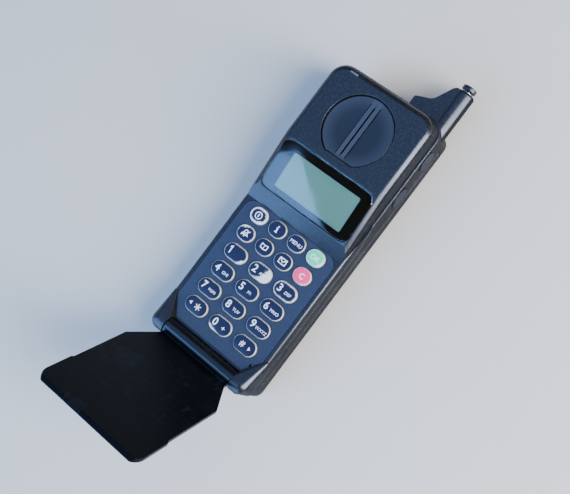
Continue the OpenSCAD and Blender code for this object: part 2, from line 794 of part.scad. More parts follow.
module display_window() {
    color("#10151c", 0.5) on_brow() translate([0, lcd_y, 0]) along_z(-window_t, 0)
        rounded_rect(window_w - 2 * inlay_gap, window_l - 2 * inlay_gap, window_corner_r);
}

module lcd_glass() {
    color("#78a090") on_brow() translate([0, lcd_y, 0]) along_z(-window_t - lcd_t, -window_t - inlay_gap)
        rounded_rect(lcd_w - inlay_gap, lcd_l - inlay_gap, lcd_corner_r);
}

// A wedge-shaped frame that carries the glass on the board
module lcd_frame() {
    color("#d5d6d2") intersection() {
        difference() {
            on_brow() translate([0, lcd_y, 0]) along_z(-far / 4, -window_t - lcd_t)
                square([lcd_w, lcd_l], center = true);
            on_brow() translate([0, lcd_y, 0]) along_z(-far / 2, far)
                square([lcd_w - 2 * lcd_frame_wall, lcd_l - 2 * lcd_frame_wall], center = true);
        }
        block([-far, -far, board_top], [far, far, far]);
    }
}

// The dish: a turned bowl cut by the flat, with a round rim, two ribs and the sound slot between them
module earpiece_dish() {
    r = ear_r - inlay_gap;
    flat_y = inlay_gap - ear_flat;
    rib_x = (ear_slot_w + ear_rib_w) / 2;
    lead_x = ear_slot_w / 2 + ear_rib_w + ear_groove_w / 2;
    hollow_r = r - ear_rim_r;
    rim = corner_arc([r, ear_seat_z], [r, ear_rim_z], [0, ear_rim_z], ear_rim_r);
    bowl = [for (i = [arc_steps - 1:-1:0]) let (d = i / arc_steps)
        [hollow_r * d, ear_rim_z - ear_hollow * (1 - d * d)]];
    color("#1f2735") translate([0, ear_y, 0]) difference() {
        union() {
            intersection() {
                rotate_extrude() polygon(concat([[0, ear_seat_z], [r, ear_seat_z]], rim, bowl));
                along_x(-far, far) polygon(rounded([
                    [flat_y, ear_seat_z],
                    [r, ear_seat_z],
                    [r, ear_rim_z],
                    [flat_y, ear_rim_z, ear_rim_r]
                ]));
            }
            intersection() {
                for (s = [-1, 1]) along_z(ear_seat_z, ear_rim_z) translate([s * rib_x, 0])
                    square([ear_rib_w, 2 * r], center = true);
                along_z(0, far) ear_outline(hollow_r - ear_groove_w);
            }
        }
        along_z(0, far) pill_along_y(ear_slot_w, ear_slot_l);
        for (s = [-1, 1]) along_z(ear_rim_z - ear_hollow - ear_groove_w, far) translate([s * lead_x, 0])
            pill_along_y(ear_groove_w, ear_groove_l);
    }
}

module speaker_gasket() {
    color("#3a3a3a") translate([0, ear_y, cup_z - gasket_t]) difference() {
        cylinder(r = speaker_r, h = gasket_t);
        translate([0, 0, -1]) cylinder(r = speaker_r - gasket_w, h = gasket_t + 2);
    }
}

module earpiece_speaker() {
    top = cup_z - gasket_t;
    color("#8d8f93") translate([0, ear_y, top - speaker_t]) rotate_extrude() polygon([
        [0, 0],
        [magnet_r, 0],
        [magnet_r, speaker_t - speaker_rim_t],
        [speaker_r, speaker_t - speaker_rim_t],
        [speaker_r, speaker_t],
        [speaker_r - gasket_w, speaker_t],
        [dome_r, speaker_t - cone_drop],
        [0, speaker_t - dome_drop]
    ]);
}

module microphone() {
    color("#9a9ca0") translate([mic_x, mic_y, board_top]) cylinder(r = mic_r, h = ledge_z - board_top);
}

module ringer() {
    color("#15171a") translate([ringer_x, ringer_y, board_top]) difference() {
        cylinder(r = ringer_r, h = ringer_h);
        translate([0, 0, ringer_h / 2]) cylinder(r = ringer_port_r, h = ringer_h);
    }
}

module status_light() {
    color("#c9cdd2") intersection() {
        translate([light_x, light_y, 0]) along_z(ear_z - 4 * wall, far)
            pill(light_w - 2 * inlay_gap, light_l - 2 * inlay_gap);
        raised_head(0, joint_low, joint_high);
    }
}

// The cover's outline from the front, as it lies closed; y is measured from the hinge axis
module flip_outline(reach) {
    half = flip_w / 2;
    polygon(rounded(mirrored([
        [barrel_l / 2 - barrel_lip, 0],
        [barrel_l / 2 - barrel_lip, flip_chamfer_start],
        [half, flip_chamfer_end],
        [half, flip_flare_at],
        [half + flip_flare, flip_flare_at + flip_flare],
        [half + flip_flare, reach, flip_corner_r]
    ])));
}

module flip_closed() {
    difference() {
        union() {
            translate([0, hinge_y, hinge_z]) bar_x(-barrel_l / 2, barrel_l / 2, barrel_r);
            intersection() {
                translate([0, hinge_y, 0]) along_z(0, far) flip_outline(flip_tip_out - hinge_y);
                along_x(-far, far) polygon(rounded([
                    [hinge_y, flip_z],
                    [flip_tip, flip_z],
                    [flip_tip_out, flip_z + flip_t, flip_edge_r],
                    [hinge_y, flip_z + flip_t]
                ]));
            }
        }
        either_side() translate([0, hinge_y, hinge_z])
            bar_x(barrel_l / 2 - pin_in_barrel - slide_gap, barrel_l, pin_r + run_gap);
    }
}

module flip_cover() {
    color("#0d1116") translate([0, hinge_y, hinge_z]) rotate([flip_open, 0, 0])
        translate([0, -hinge_y, -hinge_z]) flip_closed();
}

module hinge_pin(side) {
    color("#b8bbbf") mirror([side < 0 ? 1 : 0, 0, 0]) translate([0, hinge_y, hinge_z])
        bar_x(barrel_l / 2 - pin_in_barrel, knuckle_x + pin_in_knuckle, pin_r);
}

// The step that shows as a shadow line where the two housings meet
module joint_step() {
    difference() {
        along_x(-far, far) polygon([
            [foot_y - 1, joint_low - joint_groove],
            [joint_climb_y, joint_low - joint_groove],
            [joint_climb_end, joint_high - joint_groove],
            [head_y + 1, joint_high - joint_groove],
            [head_y + 1, joint_high + 1],
            [foot_y - 1, joint_high + 1]
        ]);
        along_z(0, far) body_outline(body_w / 2, joint_groove);
    }
}

// The rear housing's outer form, without its antenna tower
module rear_shell() {
    intersection() {
        along_z(0, far) body_outline(body_w / 2, 0);
        along_x(-far, far) polygon(rounded([
            [foot_y, rear_z],
            [battery_head + pack_gap, rear_z],
            [battery_head + pack_gap, chin_lift],
            [head_y, chin_lift, battery_foot_r],
            [head_y, joint_high],
            [joint_climb_end, joint_high],
            [joint_climb_y, joint_low],
            [foot_y, joint_low]
        ]));
        back_edges();
    }
}

// The rounded long edges of the back, shared by the housing's chin and the battery pack
module back_edges() {
    along_y(-far, far) polygon(rounded(mirrored([[body_w / 2, 0, battery_edge_r], [body_w / 2, far]])));
}

// The tower and the shoulder that climbs to it from the head end
module antenna_tower() {
    root = head_y - wall;
    low_x = antenna_x - shoulder_w;
    translate([antenna_x, 0, antenna_z]) rotate([-90, 0, 0]) rotate_extrude() polygon(rounded([
        [0, root - tower_root],
        [tower_r, root - tower_root],
        [tower_r, tower_top, tower_edge_r],
        [0, tower_top]
    ]));
    along_z(antenna_z - shoulder_t / 2, antenna_z + shoulder_t / 2) polygon(rounded([
        [low_x, root],
        [low_x, head_y + shoulder_low, shoulder_end_r],
        [antenna_x - tower_r - shoulder_foot, head_y + shoulder_low + shoulder_rise, shoulder_bend_r],
        [antenna_x - tower_r, tower_top - shoulder_drop, shoulder_top_r],
        [antenna_x, tower_top - shoulder_drop],
        [antenna_x, root]
    ]));
}

module rear_housing() {
    color("#191f2b") difference() {
        union() {
            difference() {
                union() {
                    rear_shell();
                    antenna_tower();
                }
                along_z(floor_z, far) body_outline(body_w / 2, wall);
            }
            for (p = POSTS) translate([p[0], p[1], 0]) along_z(rear_z, board_z) circle(r = post_r);
            for (p = SCREWS) translate([p[0], p[1], 0]) along_z(rear_z, p[2]) circle(r = boss_r);
        }
        translate([antenna_x, 0, antenna_z]) {
            bar_y(head_y - wall - bore_root, ferrule_y, rod_bore_r);
            bar_y(ferrule_y, far, ferrule_r + hold_gap);
        }
        for (y = [side_key_up_y, side_key_down_y]) translate([0, y, side_key_z]) along_x(0, far)
            pill(side_key_l + 2 * key_gap, side_key_h + 2 * key_gap);
        for (p = SCREWS) translate([p[0], p[1], 0]) {
            cylinder(r = screw_r + 3 * hold_gap, h = far);
            cylinder(r = screw_head_r + slide_gap, h = rear_z + screw_head_t);
        }
        for (p = HOOKS) translate([p[0], p[1], 0]) hook_slot();
        for (x = CONTACTS) translate([x, contact_y, 0]) cylinder(r = contact_r + hold_gap, h = far);
        connector_room();
        latch_room();
        joint_step();
    }
}

// A keyhole for a hook: narrow where the hook rests and wide where it comes out
module hook_slot() {
    neck = hook_neck_w + 2 * slide_gap;
    head = hook_head_w + 2 * slide_gap;
    end = hook_l / 2 + slide_gap;
    block([-neck / 2, -end - battery_travel, 0], [neck / 2, end, floor_z + 1]);
    block([-head / 2, -end - battery_travel, 0], [head / 2, end - battery_travel, floor_z + 1]);
}

module connector_room() {
    half = connector_w / 2;
    block([-half, foot_y - 1, floor_z], [half, foot_y + 2 * wall, floor_z + connector_h]);
}

// A block of flush contacts in the foot end, for a charger or a car kit
module accessory_contacts() {
    half = connector_w / 2 - inlay_gap;
    front = foot_y + connector_sink;
    top = floor_z + connector_h;
    color("#2a2a2c") difference() {
        block([-half, front, floor_z], [half, front + connector_d, top - inlay_gap]);
        for (x = [-connector_w / 2 + pad_pitch:pad_pitch:connector_w / 2 - pad_pitch])
            block([x - pad_w / 2, foot_y, floor_z + pad_end], [x + pad_w / 2, front + pad_d, top - pad_end]);
    }
}

module antenna() {
    profile = rounded([
        [0, rod_tail],
        [rod_stop_r, rod_tail],
        [rod_stop_r, rod_tail + rod_stop_l],
        [rod_r, rod_tail + rod_stop_l],
        [rod_r, knob_y],
        [knob_r, knob_y, knob_edge_r],
        [knob_r, knob_y + knob_t, knob_edge_r],
        [0, knob_y + knob_t]
    ]);
    color("#0f1216") translate([antenna_x, 0, antenna_z]) rotate([-90, 0, 0]) rotate_extrude() polygon(profile);
}

module antenna_ferrule() {
    color("#a9adb3") translate([antenna_x, 0, antenna_z]) difference() {
        bar_y(ferrule_y, tower_top + ferrule_proud, ferrule_r);
        bar_y(ferrule_y - 1, tower_top + 1, rod_r + run_gap);
    }
}

// A side key, turned so that it stands out of the right wall
module side_key(y) {
    r = side_key_h / 2;
    inner = body_w / 2 - wall;
    top = body_w / 2 + side_key_proud;
    foot = inner - side_flange_t;
    profile = concat(
        [[0, foot], [r + key_flange, foot], [r + key_flange, inner], [r, inner]],
        [for (a = [0:22.5:90]) [r - key_edge_r * (1 - cos(a)), top - key_edge_r * (1 - sin(a))]],
        [[0, top + key_crown]]);
    color("#1a202b") translate([0, y, side_key_z]) rotate([90, 0, 90])
        turned_pill(side_key_l - side_key_h, profile);
}

// Two switches on the board's edge, one behind each side key
module volume_switches() {
    back = body_w / 2 - wall - side_flange_t - side_key_travel - press_gap;
    color("#c3c5c8") for (y = [side_key_up_y, side_key_down_y])
        block([back - switch_d, y - switch_w / 2, board_top], [back, y + switch_w / 2, board_top + switch_h]);
}

// The pack's case: a tray with rounded back edges
module battery_form(z1) {
    intersection() {
        along_z(0, z1) pack_outline();
        back_edges();
        along_x(-far, far) polygon(rounded([
            [battery_foot, 0, battery_foot_r],
            [battery_head, 0, 0.8],
            [battery_head, far],
            [battery_foot, far]
        ]));
    }
}

module pack_outline() {
    polygon(rounded(mirrored([[body_w / 2, battery_foot, foot_corner_r], [body_w / 2, battery_head]])));
}

module battery_case() {
    tongue = latch_tongue_w / 2 + slide_gap;
    color("#171c27") difference() {
        battery_form(battery_lid_z);
        block([-case_half, battery_foot + battery_side, battery_wall],
            [case_half, battery_head - battery_side, far]);
        block([-tongue, battery_head - 2 * latch_bite, latch_z - latch_flange_t - slide_gap],
            [tongue, far, latch_z + slide_gap]);
    }
}

module battery_lid() {
    color("#1d232f") difference() {
        union() {
            along_z(battery_lid_z, battery_t) pack_outline();
            for (p = HOOKS) translate([p[0], p[1], 0]) {
                block([-hook_neck_w / 2, -hook_l / 2, battery_lid_z], [hook_neck_w / 2, hook_l / 2, hook_z]);
                block([-hook_head_w / 2, -hook_l / 2, hook_z],
                    [hook_head_w / 2, hook_l / 2, hook_z + hook_head_t]);
            }
        }
        for (x = CONTACTS) translate([x, contact_y, 0]) terminal_room(0);
    }
}

// A terminal's place in the lid, drawn in by inset
module terminal_room(inset) {
    w = terminal_w / 2 - inset;
    l = terminal_l / 2 - inset;
    block([-w, -l, battery_t - terminal_t], [w, l, inset > 0 ? battery_t : far]);
}

module battery_terminals() {
    color("#c8a24a") for (x = CONTACTS) translate([x, contact_y, 0]) terminal_room(inlay_gap);
}

// Sprung pins in the rear housing's floor that meet the pack's terminals
module battery_contacts() {
    color("#c8a24a") for (x = CONTACTS) translate([x, contact_y, battery_t + run_gap])
        cylinder(r = contact_r, h = floor_z + contact_rise - battery_t);
}

// Five flat cells: three at the head and two at the foot
module battery_cells() {
    row = cell_l + cell_row_gap;
    head_row = battery_head - battery_side - cell_l / 2 - cell_head_gap;
    cell_t = battery_lid_z - battery_wall - cell_room;
    color("#4b5a73") for (c = [[-1, 0], [0, 0], [1, 0], [-0.5, 1], [0.5, 1]])
        translate([c[0] * (cell_w + cell_gap), head_row - c[1] * row, battery_wall + cell_t / 2])
            along_y(-cell_l / 2, cell_l / 2) rounded_rect(cell_w, cell_t, cell_edge_r);
}

// The latch: a ribbed thumb button on a flange that slides in the chin's back
module latch_room() {
    button = latch_w / 2 + slide_gap;
    flange = button + latch_lip;
    tongue = latch_tongue_w / 2 + slide_gap;
    low = latch_z - latch_flange_t - 2 * slide_gap;
    back = latch_y - slide_gap;
    end = latch_y + latch_l + latch_travel + slide_gap;
    block([-button, back, -1], [button, end, latch_z]);
    block([-flange, back, low], [flange, end, latch_z]);
    block([-tongue, battery_head, low], [tongue, latch_y, latch_z]);
}

module battery_latch() {
    low = latch_z - latch_flange_t - slide_gap;
    high = latch_z - slide_gap;
    button = latch_w / 2;
    flange = button + latch_lip;
    tongue = latch_tongue_w / 2;
    end = latch_y + latch_l;
    color("#20262f") difference() {
        union() {
            block([-button, latch_y, latch_low], [button, end, high]);
            block([-flange, latch_y, low], [flange, end, high]);
            block([-tongue, battery_head - latch_bite, low], [tongue, latch_y + latch_l / 2, high]);
        }
        for (y = [latch_rib_pitch:latch_rib_pitch:latch_l - latch_rib_pitch])
            translate([0, latch_y + y, latch_low]) bar_x(-latch_w, latch_w, latch_rib_r);
    }
}

module housing_screws() {
    color("#9ea1a6") for (p = SCREWS) translate([p[0], p[1], rear_z]) {
        cylinder(r = screw_head_r, h = screw_head_t);
        cylinder(r = screw_r, h = p[2] - rear_z + screw_grip);
    }
}

front_housing();
rear_housing();
keypad_panel();
keypad_mat();
main_board();
shield_can();
display_window();
lcd_glass();
lcd_frame();
earpiece_dish();
earpiece_speaker();
speaker_gasket();
microphone();
ringer();
status_light();
flip_cover();
hinge_pin(-1);  // hinge_pin_left
hinge_pin(1);  // hinge_pin_right
antenna();
antenna_ferrule();
side_key(side_key_up_y);  // volume_up_key
side_key(side_key_down_y);  // volume_down_key
volume_switches();
battery_case();
battery_lid();
battery_cells();
battery_terminals();
battery_contacts();
battery_latch();
accessory_contacts();
housing_screws();
for (k = KEYS) key_cap(k);
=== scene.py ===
# A flip phone lying on its back with its cover open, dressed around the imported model
# and shot in a small studio.
import json
import math

import bmesh
import bpy
from mathutils import Matrix, Vector

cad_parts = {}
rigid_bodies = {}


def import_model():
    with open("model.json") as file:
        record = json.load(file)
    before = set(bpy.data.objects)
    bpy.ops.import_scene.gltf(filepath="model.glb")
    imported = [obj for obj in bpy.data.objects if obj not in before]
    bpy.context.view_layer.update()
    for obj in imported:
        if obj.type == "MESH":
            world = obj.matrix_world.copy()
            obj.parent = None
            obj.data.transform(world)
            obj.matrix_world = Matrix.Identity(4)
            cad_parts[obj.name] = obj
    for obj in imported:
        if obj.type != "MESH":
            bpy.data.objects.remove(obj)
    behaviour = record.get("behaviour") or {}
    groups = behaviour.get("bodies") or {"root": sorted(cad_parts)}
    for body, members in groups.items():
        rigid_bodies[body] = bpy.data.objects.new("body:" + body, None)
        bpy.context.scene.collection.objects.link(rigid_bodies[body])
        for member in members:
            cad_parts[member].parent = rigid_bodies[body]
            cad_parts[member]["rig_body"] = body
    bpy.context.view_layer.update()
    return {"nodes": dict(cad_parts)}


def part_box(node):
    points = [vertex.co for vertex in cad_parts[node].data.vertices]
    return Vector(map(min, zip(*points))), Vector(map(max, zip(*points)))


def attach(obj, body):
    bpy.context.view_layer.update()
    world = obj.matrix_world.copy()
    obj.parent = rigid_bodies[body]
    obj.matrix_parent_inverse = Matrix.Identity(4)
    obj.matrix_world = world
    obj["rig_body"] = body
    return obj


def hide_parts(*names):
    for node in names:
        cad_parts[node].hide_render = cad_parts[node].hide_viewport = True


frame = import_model()
nodes = frame["nodes"]
mm = 0.001

# Rear housing
# The deep half of the body, moulded in black ABS with the antenna tower and its shoulder in one piece.
# Four screws from behind pull it against the front housing, and the joint shows as a shadow line.


def linear(code):
    """Linear colour of an sRGB hex value."""
    parts = [int(code[i:i + 2], 16) / 255 for i in (1, 3, 5)]
    return [p / 12.92 if p <= 0.04045 else ((p + 0.055) / 1.055) ** 2.4 for p in parts] + [1]


def new_material(name, values):
    """A material with one Principled shader, and the shader with these values on its sockets."""
    made = bpy.data.materials.new(name)
    made.use_nodes = True
    shader = made.node_tree.nodes["Principled BSDF"]
    for socket, value in values.items():
        shader.inputs[socket].default_value = value
    return made, shader


def add(material, kind, values={}, links={}, **settings):
    """Adds a node with its settings, socket values and incoming links, and returns it."""
    made = material.node_tree.nodes.new("ShaderNode" + kind)
    for name, value in settings.items():
        setattr(made, name, value)
    for socket, value in values.items():
        made.inputs[socket].default_value = value
    for socket, source in links.items():
        material.node_tree.links.new(source, made.inputs[socket])
    return made


def link(material, source, shader, socket):
    """Links an output to one of the shader's sockets."""
    material.node_tree.links.new(source, shader.inputs[socket])


def per_metre(size_mm):
    """Texture scale that makes a pattern repeat at a size in millimetres."""
    return 1 / (size_mm * mm)


hand_patch_mm = 17
dust_speck_mm = 1.1
dust_starts, dust_full, dust_cover = 0.45, 0.75, 0.42


def moulded(name, colour, worn, grain_mm, grain_depth_mm, smooth, rough, ior=1.53):
    """Black plastic from a spark-eroded mould: an even fine grain that breaks reflections into a soft sheen.
    Hands polish it in patches, dust stays in the grain, and the edges wear paler. The real grain is finer
    than a pixel, so it is drawn at grain_mm to show."""
    made, shader = new_material(name, {"IOR": ior})
    place = add(made, "TexCoord").outputs["Object"]
    patches = add(made, "TexNoise", {"Scale": per_metre(hand_patch_mm), "Detail": 4, "Roughness": 0.6},
                  {"Vector": place})
    specks = add(made, "TexNoise", {"Scale": per_metre(dust_speck_mm), "Detail": 3, "Roughness": 0.7},
                 {"Vector": place})
    edge = add(made, "Attribute", attribute_name="edge").outputs["Fac"]
    paler_mask = add(made, "Math", links={0: edge, 1: specks.outputs["Fac"]}, operation="MULTIPLY")
    dust = add(made, "MapRange", {"From Min": dust_starts, "From Max": dust_full, "To Max": dust_cover},
               {"Value": specks.outputs["Fac"]})
    pale = add(made, "Math", links={0: paler_mask.outputs[0], 1: dust.outputs[0]}, operation="MAXIMUM")
    tone = add(made, "Mix", {6: linear(colour), 7: linear(worn)}, {0: pale.outputs[0]}, data_type="RGBA")
    shade = add(made, "MapRange", {"From Min": 0.3, "From Max": 0.7, "To Min": 0.86, "To Max": 1.14},
                {"Value": patches.outputs["Fac"]})
    cloudy = add(made, "HueSaturation", {"Saturation": 1, "Hue": 0.5},
                 {"Color": tone.outputs[2], "Value": shade.outputs[0]})
    link(made, cloudy.outputs[0], shader, "Base Color")
    polish = add(made, "MapRange", {"From Min": 0.35, "From Max": 0.7, "To Min": rough, "To Max": smooth},
                 {"Value": patches.outputs["Fac"]})
    link(made, polish.outputs[0], shader, "Roughness")
    grain = add(made, "TexNoise", {"Scale": per_metre(grain_mm), "Detail": 2, "Roughness": 0.55},
                {"Vector": place})
    bump = add(made, "Bump", {"Strength": 1, "Distance": grain_depth_mm * mm}, {"Height": grain.outputs["Fac"]})
    link(made, bump.outputs[0], shader, "Normal")
    return made


def new_piece(name, mesh, body, replaced, materials):
    """Puts a mesh in the scene as a piece that rides on a body, with its materials, in place of the node it hides.
    """
    piece = bpy.data.objects.new(name, mesh)
    bpy.context.scene.collection.objects.link(piece)
    for material in materials:
        mesh.materials.append(material)
    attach(piece, body)
    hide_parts(replaced)
    return piece


# Edges that turn more than sharp_angle are broken, and facets that turn less than flat_angle are joined.
sharp_angle = math.radians(28)
flat_angle = math.radians(0.6)
crease_angle = math.radians(45)
edge_steps = 2
# The round at an opening lies within this reach of the piece that is inlaid there.
lip_reach_mm = 0.5
lip_steps = 4


def sharp_runs(form):
    """The form's sharp edges, in runs that hang together."""
    left = dict.fromkeys(e for e in form.edges if e.calc_face_angle(0) > sharp_angle)
    runs = []
    while left:
        run = [left.popitem()[0]]
        for edge in run:
            for near in [n for v in edge.verts for n in v.link_edges]:
                if near in left:
                    del left[near]
                    run.append(near)
        runs.append(run)
    return runs


def broken_edges(node, name, material, width_mm, lips={}, weld_mm=0.001):
    """A copy of a node with its sharp edges broken to a small round, as a mould leaves them, and wider
    round the openings for some inlaid nodes. The rounds carry an edge value of one, for wear. Each run of
    edges is rounded by itself, because the narrowest place in a run limits all of it."""
    form = bmesh.new()
    form.from_mesh(nodes[node].data)
    worn = form.faces.layers.float.new("edge")
    bmesh.ops.remove_doubles(form, verts=form.verts, dist=weld_mm * mm)
    bmesh.ops.dissolve_limit(form, angle_limit=flat_angle, verts=form.verts, edges=form.edges)

    def break_run(run, run_width_mm, steps):
        rounds = bmesh.ops.bevel(form, geom=run, offset=run_width_mm * mm, offset_type="OFFSET", segments=steps,
                                 profile=0.5, affect="EDGES", clamp_overlap=True)["faces"]
        for face in rounds:
            face[worn] = 1

    reach = lip_reach_mm * mm
    for inlay, lip_mm in lips.items():
        low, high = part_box(inlay)
        for run in sharp_runs(form):
            places = [v.co for e in run for v in e.verts]
            inside = all(low[i] - reach < p[i] < high[i] + reach for p in places for i in (0, 1))
            if inside and sum(p.z for p in places) / len(places) > (low.z + high.z) / 2:
                break_run(run, lip_mm, lip_steps)
    for run in sharp_runs(form):
        break_run(run, width_mm, edge_steps)
    for face in form.faces:
        face.smooth = True
    mesh = bpy.data.meshes.new(name)
    form.to_mesh(mesh)
    form.free()
    mesh.materials.clear()
    mesh.set_sharp_from_angle(angle=crease_angle)
    piece = new_piece(name, mesh, nodes[node]["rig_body"], node, [material])
    even = piece.modifiers.new("even shading", "WEIGHTED_NORMAL")
    even.keep_sharp = True
    return piece


# The faces that hands hold have a fine, slightly polished grain: a blue-black with a soft broad sheen.
housing_abs = moulded("Black ABS, fine spark-eroded grain", "#080a0f", "#3a3736",
                      grain_mm=0.5, grain_depth_mm=0.04, smooth=0.29, rough=0.38)
# The walls keep the dull skin of the mould: a matt black that gives back little of what stands beside it.
# Their index of refraction is below that of real ABS, because a pale floor stands beside them here.
wall_abs = moulded("Black ABS, matt from the mould", "#080a0f", "#3a3736",
                   grain_mm=0.5, grain_depth_mm=0.03, smooth=0.5, rough=0.6, ior=1.2)
# A face whose normal rises less than this is a wall.
wall_rise = 0.5


def matt_walls(piece):
    """Gives the steep faces of a piece the matt finish that hands don't polish."""
    piece.data.materials.append(wall_abs)
    for face in piece.data.polygons:
        face.material_index = int(abs(face.normal.z) < wall_rise)


matt_walls(broken_edges("rear_housing", "rear_shell", housing_abs, width_mm=0.12))

# Antenna
# A rod moulded over a wire coil, with a stop at its inner end and a ribbed knob to pull it by.
# It slides in a nickel-plated brass ferrule, pressed into the tower.

# Nylon: a smooth black with a waxy gloss, drawn out along the rod.
rod_nylon = moulded("Black nylon, smooth from the mould", "#0b0d11", "#23282f",
                    grain_mm=0.8, grain_depth_mm=0.003, smooth=0.28, rough=0.36)
broken_edges("antenna", "antenna_rod", rod_nylon, width_mm=0.12)


def plain(name, colour, values, grain_mm, lightest=1.1, darkest=0.9):
    """A finish of one colour that a fine mottle keeps from looking flat."""
    made, shader = new_material(name, values)
    place = add(made, "TexCoord").outputs["Object"]
    mottle = add(made, "TexNoise", {"Scale": per_metre(grain_mm), "Detail": 3}, {"Vector": place})
    shade = add(made, "MapRange", {"From Min": 0.3, "From Max": 0.7, "To Min": darkest, "To Max": lightest},
                {"Value": mottle.outputs["Fac"]})
    tone = add(made, "HueSaturation", {"Color": linear(colour), "Hue": 0.5, "Saturation": 1},
               {"Value": shade.outputs[0]})
    link(made, tone.outputs[0], shader, "Base Color")
    return made


# Nickel plate over turned brass: a warm silver with soft reflections.
nickel = plain("Nickel plate on turned brass", "#c9c6bd", {"Metallic": 1, "Roughness": 0.28}, grain_mm=0.8)
broken_edges("antenna_ferrule", "antenna_bush", nickel, width_mm=0.1)

# Electronics
# A green circuit board carries the shield can, the microphone, the ringer, the switches and the contacts.
# The housings close over it, so only the contacts and the sound ports show from outside.


def finish(node, material):
    """Gives a node that is shown as it is its material."""
    nodes[node].data.materials.clear()
    nodes[node].data.materials.append(material)


# Solder mask over glass fibre: a satin green film.
solder_mask = plain("Solder mask on glass fibre board", "#1f5a38", {"Roughness": 0.38, "IOR": 1.5}, grain_mm=2.5)
finish("main_board", solder_mask)
# Tinned sheet: a dull bright metal with a fine rolling grain.
tinplate = plain("Tinned steel sheet, pressed", "#b9bcc0", {"Metallic": 1, "Roughness": 0.34}, grain_mm=0.6)
finish("shield_can", tinplate)
# Silicone: a matt rubber with hardly any reflection.
silicone = plain("Silicone rubber, moulded", "#6d7078", {"Roughness": 0.72, "IOR": 1.41}, grain_mm=1.2)
finish("keypad_mat", silicone)
# Deep-drawn steel: plain grey metal.
steel = plain("Steel, drawn and plated", "#9a9ca0", {"Metallic": 1, "Roughness": 0.3}, grain_mm=0.7)
finish("microphone", steel)
finish("earpiece_speaker", steel)
finish("housing_screws", steel)
# Foam: an open, dark, quite matt ring.
foam = plain("Polyurethane foam, die-cut", "#2b2b2b", {"Roughness": 0.95, "IOR": 1.4},
             grain_mm=0.5, lightest=1.5, darkest=0.5)
finish("speaker_gasket", foam)
# Polyester cases of the ringer and the switches: black with a slight gloss.
black_case = plain("Black polyester, moulded", "#0d0f12", {"Roughness": 0.32, "IOR": 1.57}, grain_mm=1.5)
finish("ringer", black_case)
finish("volume_switches", black_case)
finish("accessory_contacts", black_case)
# Flash gold over nickel: a warm yellow metal.
gold = plain("Gold flash on nickel", "#d9b15f", {"Metallic": 1, "Roughness": 0.24}, grain_mm=0.6)
finish("battery_contacts", gold)
finish("battery_terminals", gold)

# Front housing
# The thin front half of the body, in the same black ABS: raised head, display slope, band, deck and knuckles.
# The window, the dish and the panel drop into its recesses from the front.

matt_walls(broken_edges("front_housing", "front_shell", housing_abs, width_mm=0.2,
                        lips={"display_window": 0.45}))

# Keypad panel
# A flat plate of black ABS with a hole for each key and a slot for the microphone.
# It is moulded smooth and glued into its recess in the deck, over the flanges of the keys.

# Satin ABS: a bluer, more even black than the housing's, with next to no grain.
panel_abs = moulded("Black ABS, satin", "#1f2433", "#343c50",
                    grain_mm=0.6, grain_depth_mm=0.006, smooth=0.38, rough=0.46)
broken_edges("keypad_panel", "keypad_plate", panel_abs, width_mm=0.1)

# Keys
# Twenty caps of cream ABS with a flange that holds them under the panel. Their tops are sprayed with dark
# paint, inside a cream rim, and the legends are burnt out of the paint. Thumbs have worn some of it off.

key_flange_mm = 0.6
key_round_mm = 0.45
key_crown_mm = 0.15
key_crease = math.radians(40)
# The paint ends at this angle of the round at the key's edge. The crown's rings are shares of its radius.
paint_angle = math.radians(67.5)
crown_rings = (0.85, 0.65, 0.4, 0.15)
legend_proud_mm = 0.02
legend_depth_mm = 0.05
# Legends are cut at this step, as many times to each side of the key's middle, to follow the crown.
legend_step_mm = 0.7
legend_cuts = 8
legend_weld_mm = 0.002
thinnest_mitre = 0.4
digit_mm, digit_at, digit_weight = 3.6, (-2.9, 0.25), 0.012
letters_mm, letters_at = 1.45, (2.0, -0.35)
pen_mm = 0.42
star_mm = 1.7


def skin(form, rings, closed=False):
    """Adds a skin through rings of equally many points to a form, and returns its bands of faces.
    It is capped at both ends, or closed from the last ring back to the first."""
    rows = [[form.verts.new(p) for p in ring] for ring in rings]
    pairs = list(zip(rows, rows[1:] + rows[:1])) if closed else list(zip(rows, rows[1:]))
    bands = [[form.faces.new((low[i - 1], low[i], high[i], high[i - 1])) for i in range(len(low))]
             for low, high in pairs]
    if not closed:
        bands = [[form.faces.new(rows[0][::-1])]] + bands + [[form.faces.new(rows[-1])]]
    return bands


def pill_ring(half_length, radius, height, steps=16):
    """Points round a pill, anticlockwise, in millimetres."""
    return [Vector((side * half_length + radius * math.cos(turn), radius * math.sin(turn), height))
            for side, start in ((1, -math.pi / 2), (-1, math.pi / 2))
            for turn in (start + math.pi * i / steps for i in range(steps + 1))]


def circle(radius, steps=28):
    """Points round a circle, in millimetres."""
    return [(radius * math.cos(2 * math.pi * i / steps), radius * math.sin(2 * math.pi * i / steps))
            for i in range(steps)]


def mirrored(points):
    """Points swapped from left to right."""
    return [(-x, y) for x, y in points]


def stroke(points, width, closed=False):
    """Outlines of a line drawn through points with a pen of that width, in millimetres."""
    points = [Vector(p) for p in points]
    count = len(points)
    sides = ([], [])
    for i, p in enumerate(points):
        before = p - points[i - 1] if closed or i > 0 else points[1] - points[0]
        after = points[(i + 1) % count] - p if closed or i < count - 1 else p - points[i - 1]
        before, after = before.normalized(), after.normalized()
        across = (before + after).normalized().orthogonal()
        reach = width / 2 / max(thinnest_mitre, across.dot(after.orthogonal()))
        sides[0].append(p + across * reach)
        sides[1].append(p - across * reach)
    return list(sides) if closed else [sides[0] + sides[1][::-1]]


